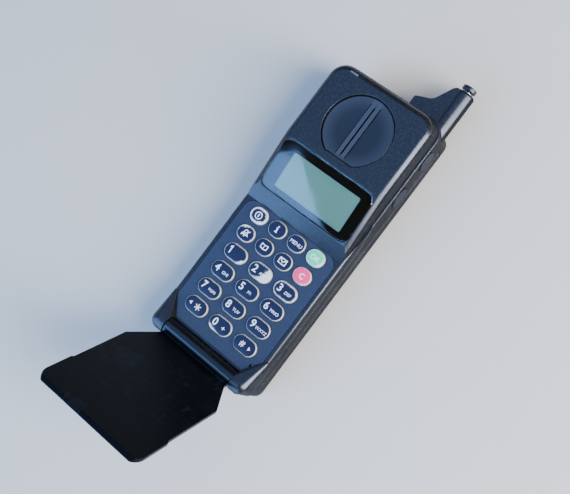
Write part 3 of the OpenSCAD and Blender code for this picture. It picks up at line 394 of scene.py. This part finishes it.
def drawn(outlines, at=(0, 0)):
    """A mark filled inside outlines in millimetres: its curve, a height of 0, which keeps the drawn size,
    and its place on the key."""
    curve = bpy.data.curves.new("glyph", "CURVE")
    curve.dimensions = "2D"
    curve.fill_mode = "BOTH"
    for outline in outlines:
        line = curve.splines.new("POLY")
        line.points.add(len(outline) - 1)
        for point, place in zip(line.points, outline):
            point.co = (place[0], place[1], 0, 1)
        line.use_cyclic_u = True
    return curve, 0, at


def written(text, height, at=(0, 0), weight=0):
    """A mark of upright sans letters, thickened by weight: its curve, its height in millimetres and the
    place of its middle on the key."""
    curve = bpy.data.curves.new("word", "FONT")
    curve.body = text
    curve.offset = weight
    return curve, height, at


def burn_in(form, curve, height, middle, rise):
    """Adds a mark to a key's form as a thin plate, cut small to follow the crown."""
    curve.extrude = 0.01
    holder = bpy.data.objects.new("legend", curve)
    flat = bpy.data.meshes.new_from_object(holder)
    xs, ys = [v.co.x for v in flat.vertices], [v.co.y for v in flat.vertices]
    scale = height / (max(ys) - min(ys)) if height else 1
    centre = Vector(((max(xs) + min(xs)) / 2, (max(ys) + min(ys)) / 2)) if height else Vector((0, 0))
    plate = bmesh.new()
    plate.from_mesh(flat)
    for v in plate.verts:
        v.co.xy = (v.co.xy - centre) * scale + Vector(middle)
    bmesh.ops.remove_doubles(plate, verts=plate.verts, dist=legend_weld_mm)
    for normal in (Vector((1, 0, 0)), Vector((0, 1, 0))):
        for i in range(-legend_cuts, legend_cuts + 1):
            bmesh.ops.bisect_plane(plate, geom=plate.verts[:] + plate.edges[:] + plate.faces[:],
                                   plane_co=normal * i * legend_step_mm, plane_no=normal)
    made = {}
    for v in plate.verts:
        level = rise(v.co) + (legend_proud_mm if v.co.z > 0 else -legend_depth_mm)
        made[v] = form.verts.new((v.co.x, v.co.y, level))
    for f in plate.faces:
        form.faces.new([made[v] for v in f.verts]).material_index = 2
    plate.free()
    bpy.data.objects.remove(holder)
    bpy.data.meshes.remove(flat)
    bpy.data.curves.remove(curve)


def digit(text):
    """The large digit at the left of a key."""
    return written(text, digit_mm, digit_at, digit_weight)


arrow = [(-0.75, 0), (0.6, 0.95), (0.6, -0.95)]
page = [(0, -1.05), (0, 0.95), (1.7, 1.25), (1.7, -0.75)]
envelope = [(-1.9, -1.3), (1.9, -1.3), (1.9, 1.3), (-1.9, 1.3)]
bell = [(-1.6, -0.95), (-1.05, -0.4), (-0.85, 0.75), (-0.35, 1.35),
        (0.35, 1.35), (0.85, 0.75), (1.05, -0.4), (1.6, -0.95)]
star_arms = [[(side * star_mm * math.cos(turn), side * star_mm * math.sin(turn)) for side in (1, -1)]
             for turn in (math.radians(degrees) for degrees in (30, 90, 150))]
legends = {
    "key_power": [drawn([circle(1.85), circle(1.85 - pen_mm)]), drawn(stroke([(0, -0.85), (0, 0.85)], 0.5))],
    "key_info": [drawn([circle(0.36)], (0, 1.45)),
                 drawn(stroke([(0, 0.65), (0, -1.5)], 0.62)),
                 drawn(stroke([(-0.62, 0.55), (0.1, 0.55)], 0.34)),
                 drawn(stroke([(-0.75, -1.4), (0.75, -1.4)], 0.34))],
    "key_menu": [written("MENU", 1.7)],
    "key_ok": [written("OK", 2.3, weight=0.01)],
    "key_mute": [drawn(stroke(bell, pen_mm, True), (0, 0.2)),
                 drawn([circle(0.36)], (0, -1.35)),
                 drawn(stroke([(-1.8, -1.55), (1.8, 1.75)], pen_mm))],
    "key_book": [drawn(stroke(page, pen_mm, True)), drawn(stroke(mirrored(page[::-1]), pen_mm, True))],
    "key_mail": [drawn(stroke(envelope, pen_mm, True)),
                 drawn(stroke([(-1.8, 1.2), (0, -0.35), (1.8, 1.2)], pen_mm))],
    "key_clear": [written("C", 2.7, weight=0.012)],
    "key_1": [drawn(stroke([(-0.75, 0.95), (0.1, 1.6), (0.1, -1.8)], 0.58), (-3, 0.2))],
    "key_star": [drawn([arrow], (-3.2, 0.1))] + [drawn(stroke(arm, pen_mm), (1.1, 0)) for arm in star_arms],
    "key_0": [digit("0"), written("+", 1.7, (2.2, -0.2), 0.012)],
    "key_hash": [written("#", 2.9, (-1.3, 0), 0.008), drawn([mirrored(arrow)], (2.9, -0.1))],
}
for number, group in enumerate(("ABC", "DEF", "GHI", "JKL", "MNO", "PQRS", "TUV", "WXYZ"), start=2):
    legends[f"key_{number}"] = [digit(str(number)), written(group, letters_mm, letters_at)]

# Where thumbs have taken the paint off: beyond a line square to an angle, at a distance from the key's middle,
# and in from the rim of the paint.
worn_paint = {
    "key_power": (-60, 2.4, 1.0), "key_mute": (115, 2.6, 0.3), "key_1": (-45, 3.9, 0.2), "key_2": (-14, 1.7, 0.35),
    "key_3": (120, 4.2, 0.6), "key_0": (-110, 3.0, 0.1), "key_ok": (-30, 2.9, 0.5), "key_clear": (-60, 3.2, 0.2),
}
whole_paint = (0, 9, 0.02)
farthest_from_wear_mm = -3


def sprayed(name, colour, cream):
    """Paint on cream ABS: a thin even film that thumbs rub through, first in specks, then down to the cream."""
    made, shader = new_material(name, {"IOR": 1.5})
    place = add(made, "TexCoord").outputs["Object"]
    wear = add(made, "Attribute", attribute_name="wear").outputs["Fac"]
    blots = add(made, "TexNoise", {"Scale": per_metre(0.9), "Detail": 6, "Roughness": 0.75}, {"Vector": place})
    ragged = add(made, "Math", {1: 2.4}, {0: blots.outputs["Fac"], 2: wear}, operation="MULTIPLY_ADD")
    bare = add(made, "MapRange", {"From Min": 1.2, "From Max": 1.9}, {"Value": ragged.outputs[0]})
    tone = add(made, "Mix", {6: linear(colour), 7: linear(cream)}, {0: bare.outputs[0]}, data_type="RGBA")
    link(made, tone.outputs[2], shader, "Base Color")
    gloss = add(made, "MapRange", {"To Min": 0.3, "To Max": 0.42}, {"Value": bare.outputs[0]})
    link(made, gloss.outputs[0], shader, "Roughness")
    return made


bare_colour = "#dedacd"
# Cream ABS: a warm off-white with a soft moulded gloss, greyed where the dirt of the gap reaches it.
cream_abs = plain("Cream ABS, moulded", "#b8b19c", {"Roughness": 0.36, "IOR": 1.53}, grain_mm=1.5)
# The burnt legend is the bare resin, bleached a little by the laser.
burnt_legend = plain("Cream ABS, bleached by a laser", "#f2f0ea", {"Roughness": 0.5, "IOR": 1.53},
                     grain_mm=0.8, lightest=1.03, darkest=0.97)
paints = {
    "key_cream": sprayed("Dark blue paint, sprayed", "#10122c", bare_colour),
    "key_green": sprayed("Mint green paint, sprayed", "#0ad48c", bare_colour),
    "key_pink": sprayed("Pink paint, sprayed", "#ff3d72", bare_colour),
}
panel_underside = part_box("keypad_panel")[0].z


def key_cap(node, marks):
    """One key: flange, wall, rounded edge, painted crown and legend, built about the middle of its top."""
    low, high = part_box(node)
    slot = {"key_ok": "key_green", "key_clear": "key_pink"}.get(node, "key_cream")
    top = high.z - key_crown_mm * mm
    radius = (high.y - low.y) / 2 / mm - key_flange_mm
    straight = (high.x - low.x) / 2 / mm - key_flange_mm - radius
    foot, shelf = (low.z - top) / mm, (panel_underside - top) / mm
    flat_radius = radius - key_round_mm
    paint_radius = flat_radius + key_round_mm * math.cos(paint_angle)
    worn_angle, worn_reach, worn_rim = worn_paint.get(node, whole_paint)
    worn_turn = math.radians(worn_angle)

    def from_spine(place):
        """How far a place lies from the line along the key's middle."""
        return math.hypot(max(0, abs(place.x) - straight), place.y)

    def rise(place):
        """Height of the crown over a place on the key's top."""
        return key_crown_mm * (1 - (from_spine(place) / flat_radius) ** 2)

    def wear_at(place):
        """How far a place lies inside the worn paint, in millimetres."""
        over = place.x * math.cos(worn_turn) + place.y * math.sin(worn_turn) - worn_reach
        return max(over, worn_rim - (paint_radius - from_spine(place)), farthest_from_wear_mm)

    form = bmesh.new()
    rings = [(radius + key_flange_mm, foot), (radius + key_flange_mm, shelf), (radius, shelf)]
    rings += [(flat_radius + key_round_mm * math.cos(a), -key_round_mm * (1 - math.sin(a)))
              for a in (0, paint_angle / 3, paint_angle * 2 / 3, paint_angle, math.pi / 2)]
    rings += [(flat_radius * part, key_crown_mm * (1 - part ** 2)) for part in crown_rings]
    bands = skin(form, [pill_ring(straight, r, z) for r, z in rings])
    # Painted are the top of the round, the crown's bands and the cap in its middle.
    for band in bands[-len(crown_rings) - 2:]:
        for face in band:
            face.material_index = 1
    for curve, height, middle in marks:
        burn_in(form, curve, height, middle, rise)
    wear = form.verts.layers.float.new("wear")
    for vert in form.verts:
        vert[wear] = wear_at(vert.co)
        vert.co *= mm
    mesh = bpy.data.meshes.new(node + "_cap")
    form.to_mesh(mesh)
    form.free()
    mesh.set_sharp_from_angle(angle=key_crease)
    for face in mesh.polygons:
        face.use_smooth = face.material_index < 2
    mesh.transform(Matrix.Translation(((low.x + high.x) / 2, (low.y + high.y) / 2, top)))
    new_piece(node + "_cap", mesh, nodes[node]["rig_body"], node, [cream_abs, paints[slot], burnt_legend])


for node, marks in legends.items():
    key_cap(node, marks)

# Display
# A liquid crystal glass in a white light frame, under a smoked acrylic lens glued into the display slope.
# The lens is printed black on its back, round a clear window.

lens_corner_mm = 4.5
lens_edge_mm = 0.5
lens_back_mm = 1.0
lens_crease = math.radians(50)
print_front_mm = 1.04
print_back_mm = 1.16
# The clear window lies this far in from the edges of the lens.
window_left_mm, window_right_mm = 7.3, 5.8
window_foot_mm, window_head_mm = 3.0, 4.6
window_corner_mm = 0.8
least_rise = 0.5


def rounded_ring(left, right, foot, head, corner, height, steps=8):
    """Points round a rectangle with round corners, anticlockwise, in millimetres."""
    middles = ((right - corner, foot + corner, -90), (right - corner, head - corner, 0),
               (left + corner, head - corner, 90), (left + corner, foot + corner, 180))
    return [Vector((x + corner * math.cos(turn), y + corner * math.sin(turn), height))
            for x, y, start in middles
            for turn in (math.radians(start + 90 * i / steps) for i in range(steps + 1))]


window = nodes["display_window"]
slope = max(window.data.polygons, key=lambda f: f.area if f.normal.z > least_rise else 0)
across = Vector((1, 0, 0))
along = slope.normal.cross(across)
on_slope = Matrix((across, along, slope.normal)).transposed().to_4x4()
lens_points = [on_slope.inverted() @ v.co for v in window.data.vertices]
lens_low = Vector([min(p[i] for p in lens_points) for i in range(3)]) / mm
lens_high = Vector([max(p[i] for p in lens_points) for i in range(3)]) / mm
form = bmesh.new()
rings = [(0, -lens_back_mm)] + [(lens_edge_mm * (1 - math.cos(a)), -lens_edge_mm * (1 - math.sin(a)))
                                for a in (math.radians(d) for d in (0, 30, 60, 90))]
skin(form, [rounded_ring(lens_low.x + inset, lens_high.x - inset, lens_low.y + inset, lens_high.y - inset,
                         lens_corner_mm - inset, lens_high.z + z) for inset, z in rings])
outer = (lens_low.x, lens_high.x, lens_low.y, lens_high.y, lens_corner_mm)
inner = (lens_low.x + window_left_mm, lens_high.x - window_right_mm,
         lens_low.y + window_foot_mm, lens_high.y - window_head_mm, window_corner_mm)
print_rings = [(outer, print_back_mm), (outer, print_front_mm), (inner, print_front_mm), (inner, print_back_mm)]
printed = skin(form, [rounded_ring(*sides, lens_high.z - depth) for sides, depth in print_rings], closed=True)
for band in printed:
    for face in band:
        face.material_index = 1
for vert in form.verts:
    vert.co *= mm
mesh = bpy.data.meshes.new("lens")
form.to_mesh(mesh)
form.free()
mesh.set_sharp_from_angle(angle=lens_crease)
for face in mesh.polygons:
    face.use_smooth = len(face.vertices) == 4
mesh.transform(on_slope)
# Smoked acrylic: clear and hard-glossy, grey through its thickness, with fine wiping marks on the front.
smoked, shader = new_material("Smoked acrylic, polished", {
    "Base Color": linear("#d8dfdd"), "IOR": 1.49, "Transmission Weight": 1})
place = add(smoked, "TexCoord").outputs["Object"]
wiped = add(smoked, "TexNoise", {"Scale": per_metre(9), "Detail": 6, "Roughness": 0.65}, {"Vector": place})
haze = add(smoked, "MapRange", {"From Min": 0.35, "From Max": 0.75, "To Min": 0.02, "To Max": 0.07},
           {"Value": wiped.outputs["Fac"]})
link(smoked, haze.outputs[0], shader, "Roughness")
# Screen ink: a dense flat black film.
screen_ink = plain("Black screen ink", "#040507", {"Roughness": 0.6, "Specular IOR Level": 0}, grain_mm=3)
new_piece("lens", mesh, window["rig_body"], "display_window", [smoked, screen_ink])

# The glass shows the grey-green of a resting liquid crystal, with the faint grid of its dots.
dot_pitch_mm = 0.6
crystal, shader = new_material("Liquid crystal glass, resting", {"Roughness": 0.3, "Specular IOR Level": 0.2})
place = add(crystal, "TexCoord").outputs["Object"]
dots = add(crystal, "TexBrick", {
    "Color1": linear("#9ccaac"), "Color2": linear("#98c6a8"), "Mortar": linear("#a4d0b4"), "Mortar Size": 0.06,
    "Scale": per_metre(dot_pitch_mm), "Brick Width": 1, "Row Height": 1}, {"Vector": place}, offset=0)
link(crystal, dots.outputs["Color"], shader, "Base Color")
finish("lcd_glass", crystal)
# White polycarbonate: a bright, slightly glossy frame that throws light back into the glass.
light_frame = plain("White polycarbonate, moulded", "#d5d6d2", {"Roughness": 0.4, "IOR": 1.58}, grain_mm=2)
finish("lcd_frame", light_frame)

# Earpiece dish
# A shallow D-shaped bowl, moulded in satin black ABS with two ribs and the sound slot between them.
# It is glued into the ear face from the front, over the speaker.

# Within this depth of the dish's top, and most across its ribs, the colour is drawn paler as painted sheen.
sheen_depth_mm = 0.5
rib_side_mm, rib_core_mm = 2.6, 2.3
rim_share = 0.6
dish_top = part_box("earpiece_dish")[1].z
# Satin black ABS, drawn paler and a little glossier on its high places: the ribs, and less on the rim. The paler
# tone is painted sheen, for the light these raised places catch.
dish_abs, shader = new_material("Black ABS, satin, painted sheen on the ribs", {"IOR": 1.53})
place = add(dish_abs, "TexCoord").outputs["Object"]
parts = add(dish_abs, "SeparateXYZ", links={0: place}).outputs
raised = add(dish_abs, "MapRange", {"From Min": dish_top - sheen_depth_mm * mm, "From Max": dish_top},
             {"Value": parts["Z"]})
aside = add(dish_abs, "Math", links={0: parts["X"]}, operation="ABSOLUTE")
on_ribs = add(dish_abs, "MapRange", {
    "From Min": rib_side_mm * mm, "From Max": rib_core_mm * mm, "To Min": rim_share}, {"Value": aside.outputs[0]})
paler_mask = add(dish_abs, "Math", links={0: raised.outputs[0], 1: on_ribs.outputs[0]}, operation="MULTIPLY")
grain = add(dish_abs, "TexNoise", {"Scale": per_metre(0.5), "Detail": 3, "Roughness": 0.6}, {"Vector": place})
dusty = add(dish_abs, "Math", {1: 0.5}, {0: grain.outputs["Fac"]}, operation="ADD")
pale = add(dish_abs, "Math", links={0: paler_mask.outputs[0], 1: dusty.outputs[0]}, operation="MULTIPLY")
# Dark satin black, mixed towards a paler grey on the ribs and rim: painted sheen.
tone = add(dish_abs, "Mix", {6: linear("#0b0e14"), 7: linear("#2f3339")}, {0: pale.outputs[0]}, data_type="RGBA")
link(dish_abs, tone.outputs[2], shader, "Base Color")
gloss = add(dish_abs, "MapRange", {"To Min": 0.38, "To Max": 0.3}, {"Value": paler_mask.outputs[0]})
link(dish_abs, gloss.outputs[0], shader, "Roughness")
bump = add(dish_abs, "Bump", {"Strength": 1, "Distance": 0.008 * mm}, {"Height": grain.outputs["Fac"]})
link(dish_abs, bump.outputs[0], shader, "Normal")
broken_edges("earpiece_dish", "ear_dish", dish_abs, width_mm=0.15)

# Status light
# A short light pipe of smoked polycarbonate, pushed through the head from inside.
# It ends flush in the head's end edge, near the left corner.

# Smoked polycarbonate: a grey, glassy end with a sharp small reflection.
smoked_pipe = plain("Smoked polycarbonate, polished", "#565b63", {"Roughness": 0.15, "IOR": 1.58}, grain_mm=1)
broken_edges("status_light", "light_pipe", smoked_pipe, width_mm=0.08)

# Flip cover
# A thin cover of polished black ABS with its hinge barrel in one piece, turning on two steel pins in the knuckles.
# Pockets have left fine scuffs on it, in patches.

barrel_reach_mm = 5
scratch_mm, scratch_narrowing, scratch_turn = 0.7, 0.12, 0.5
scuff_patch_mm = 14


def scuffed_abs(name, ior):
    """Black ABS, polished in the mould and scuffed by pockets: fine streaks, paler and duller than the rest."""
    made, shader = new_material(name, {"IOR": ior})
    place = add(made, "TexCoord").outputs["Object"]
    streaked = add(made, "Mapping", {"Scale": (1, scratch_narrowing, scratch_narrowing),
                                     "Rotation": (0, 0, scratch_turn)}, {"Vector": place})
    scratches = add(made, "TexNoise", {"Scale": per_metre(scratch_mm), "Detail": 6, "Roughness": 0.75},
                    {"Vector": streaked.outputs[0]})
    where = add(made, "TexNoise", {"Scale": per_metre(scuff_patch_mm), "Detail": 3}, {"Vector": place})
    scuffed = add(made, "Math", links={0: scratches.outputs["Fac"], 1: where.outputs["Fac"]}, operation="MULTIPLY")
    streaks = add(made, "MapRange", {"From Min": 0.3, "From Max": 0.46}, {"Value": scuffed.outputs[0]})
    tone = add(made, "Mix", {6: linear("#040507"), 7: linear("#151920")}, {0: streaks.outputs[0]},
               data_type="RGBA")
    link(made, tone.outputs[2], shader, "Base Color")
    dulled = add(made, "MapRange", {"To Min": 0.27, "To Max": 0.5}, {"Value": streaks.outputs[0]})
    link(made, dulled.outputs[0], shader, "Roughness")
    return made


# Wear has taken most of the shine off the cover's faces, but not off its barrel. A low index of refraction,
# below that of real ABS, stands for the lost shine.
cover = broken_edges("flip_cover", "cover", scuffed_abs("Black ABS, polished, worn dull", 1.2),
                     width_mm=0.25, weld_mm=0.05)
cover.data.materials.append(scuffed_abs("Black ABS, polished", 1.53))
barrel_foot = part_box("hinge_pin_left")[0].y - barrel_reach_mm * mm
for face in cover.data.polygons:
    face.material_index = int(face.center.y > barrel_foot)
finish("hinge_pin_left", steel)
finish("hinge_pin_right", steel)

# Side keys
# Two oval volume keys of soft black rubber, moulded matt.
# They are pushed out through the right wall from inside, in front of their switches.

# Rubber: a dull black that hardly mirrors anything, a little greyer than the wall round it.
side_rubber = moulded("Black rubber, matt moulded", "#14171c", "#30363f",
                      grain_mm=0.5, grain_depth_mm=0.008, smooth=0.5, rough=0.6, ior=1.3)
broken_edges("volume_up_key", "volume_up_cap", side_rubber, width_mm=0.2)
broken_edges("volume_down_key", "volume_down_cap", side_rubber, width_mm=0.2)

# Battery pack
# A welded case and lid of black ABS round five flat cells. It slides on four hooks along the back,
# and a ribbed latch in the housing's chin holds it.

# Coarser mould grain: a greyer, drier black than the housing's.
pack_abs = moulded("Black ABS, coarser grain", "#0e1116", "#2a313c",
                   grain_mm=0.7, grain_depth_mm=0.02, smooth=0.4, rough=0.5)
matt_walls(broken_edges("battery_case", "pack_case", pack_abs, width_mm=0.15))
matt_walls(broken_edges("battery_lid", "pack_lid", pack_abs, width_mm=0.12))
broken_edges("battery_latch", "pack_latch", housing_abs, width_mm=0.08)
# Shrink-wrapped cells: a green-grey film with a soft gloss.
shrink_film = plain("Nickel cells in shrink film", "#4d6b5c", {"Roughness": 0.3, "IOR": 1.5}, grain_mm=3)
finish("battery_cells", shrink_film)

# The studio
# A pale paper floor, a tall window before the foot, a dim blue ceiling, a tall panel at the right and a cool
# strip low at the left. All lengths here are in metres.

floor_size = 12
floor_mesh = bpy.data.meshes.new("floor")
corner = floor_size / 2
floor_mesh.from_pydata([(-corner, -corner, 0), (corner, -corner, 0), (corner, corner, 0), (-corner, corner, 0)],
                       [], [(0, 1, 2, 3)])
floor = bpy.data.objects.new("floor", floor_mesh)
bpy.context.scene.collection.objects.link(floor)
# Uncoated paper: a warm pale ground without any shine.
floor_paper, shader = new_material("Pale matt paper", {"Base Color": linear("#cfc2ac"), "Roughness": 0.85})
floor_mesh.materials.append(floor_paper)


def soft_box(name, place, aim, width, height, power, colour):
    """A rectangular light at a place, facing a point."""
    lamp = bpy.data.lights.new(name, "AREA")
    lamp.shape = "RECTANGLE"
    lamp.size = width
    lamp.size_y = height
    lamp.energy = power
    lamp.color = linear(colour)[:3]
    held = bpy.data.objects.new(name, lamp)
    facing = (Vector(aim) - Vector(place)).to_track_quat("-Z", "Y").to_matrix().to_4x4()
    held.matrix_world = Matrix.Translation(place) @ facing
    bpy.context.scene.collection.objects.link(held)


phone_middle = (0, 0, 0.02)
soft_box("window", (-0.17, -0.9, 0.81), (0.37, -0.26, 0.81), width=1.4, height=1.58, power=60, colour="#80b2ff")
soft_box("ceiling", (-0.35, 0.25, 1.0), (-0.35, 0.25, 0), width=1.2, height=0.92, power=5.4, colour="#80aeff")
soft_box("right panel", (0.88, 0.14, 0.52), phone_middle, width=0.42, height=1.1, power=46, colour="#dfe8ff")
soft_box("left strip", (-1.2, 0.1, 0.3), phone_middle, width=0.9, height=0.25, power=3, colour="#a8c4ff")

world = bpy.data.worlds.new("studio")
world.use_nodes = True
world.node_tree.nodes["Background"].inputs["Color"].default_value = linear("#efe6d8")
world.node_tree.nodes["Background"].inputs["Strength"].default_value = 0.12
bpy.context.scene.world = world

# The camera
# It stands above the right side of the keys, turned so that the head points to the upper right.
# The focal length was fitted in pixels to a picture of that width.

picture_width = 570
focal_pixels = 1000
camera_place = Vector((157.1, -4.5, 443.9)) * mm
camera_aim = Vector((2.0, -10.2, 22)) * mm
picture_up = Vector((-0.567, 0.799, 0.198))
camera_data = bpy.data.cameras.new("camera")
camera_data.sensor_width = 36
camera_data.lens = focal_pixels / picture_width * camera_data.sensor_width
camera_data.clip_start = 0.01
camera = bpy.data.objects.new("camera", camera_data)
bpy.context.scene.collection.objects.link(camera)
back = (camera_place - camera_aim).normalized()
right = picture_up.cross(back).normalized()
up = back.cross(right)
camera.matrix_world = Matrix.Translation(camera_place) @ Matrix((right, up, back)).transposed().to_4x4()
bpy.context.scene.camera = camera
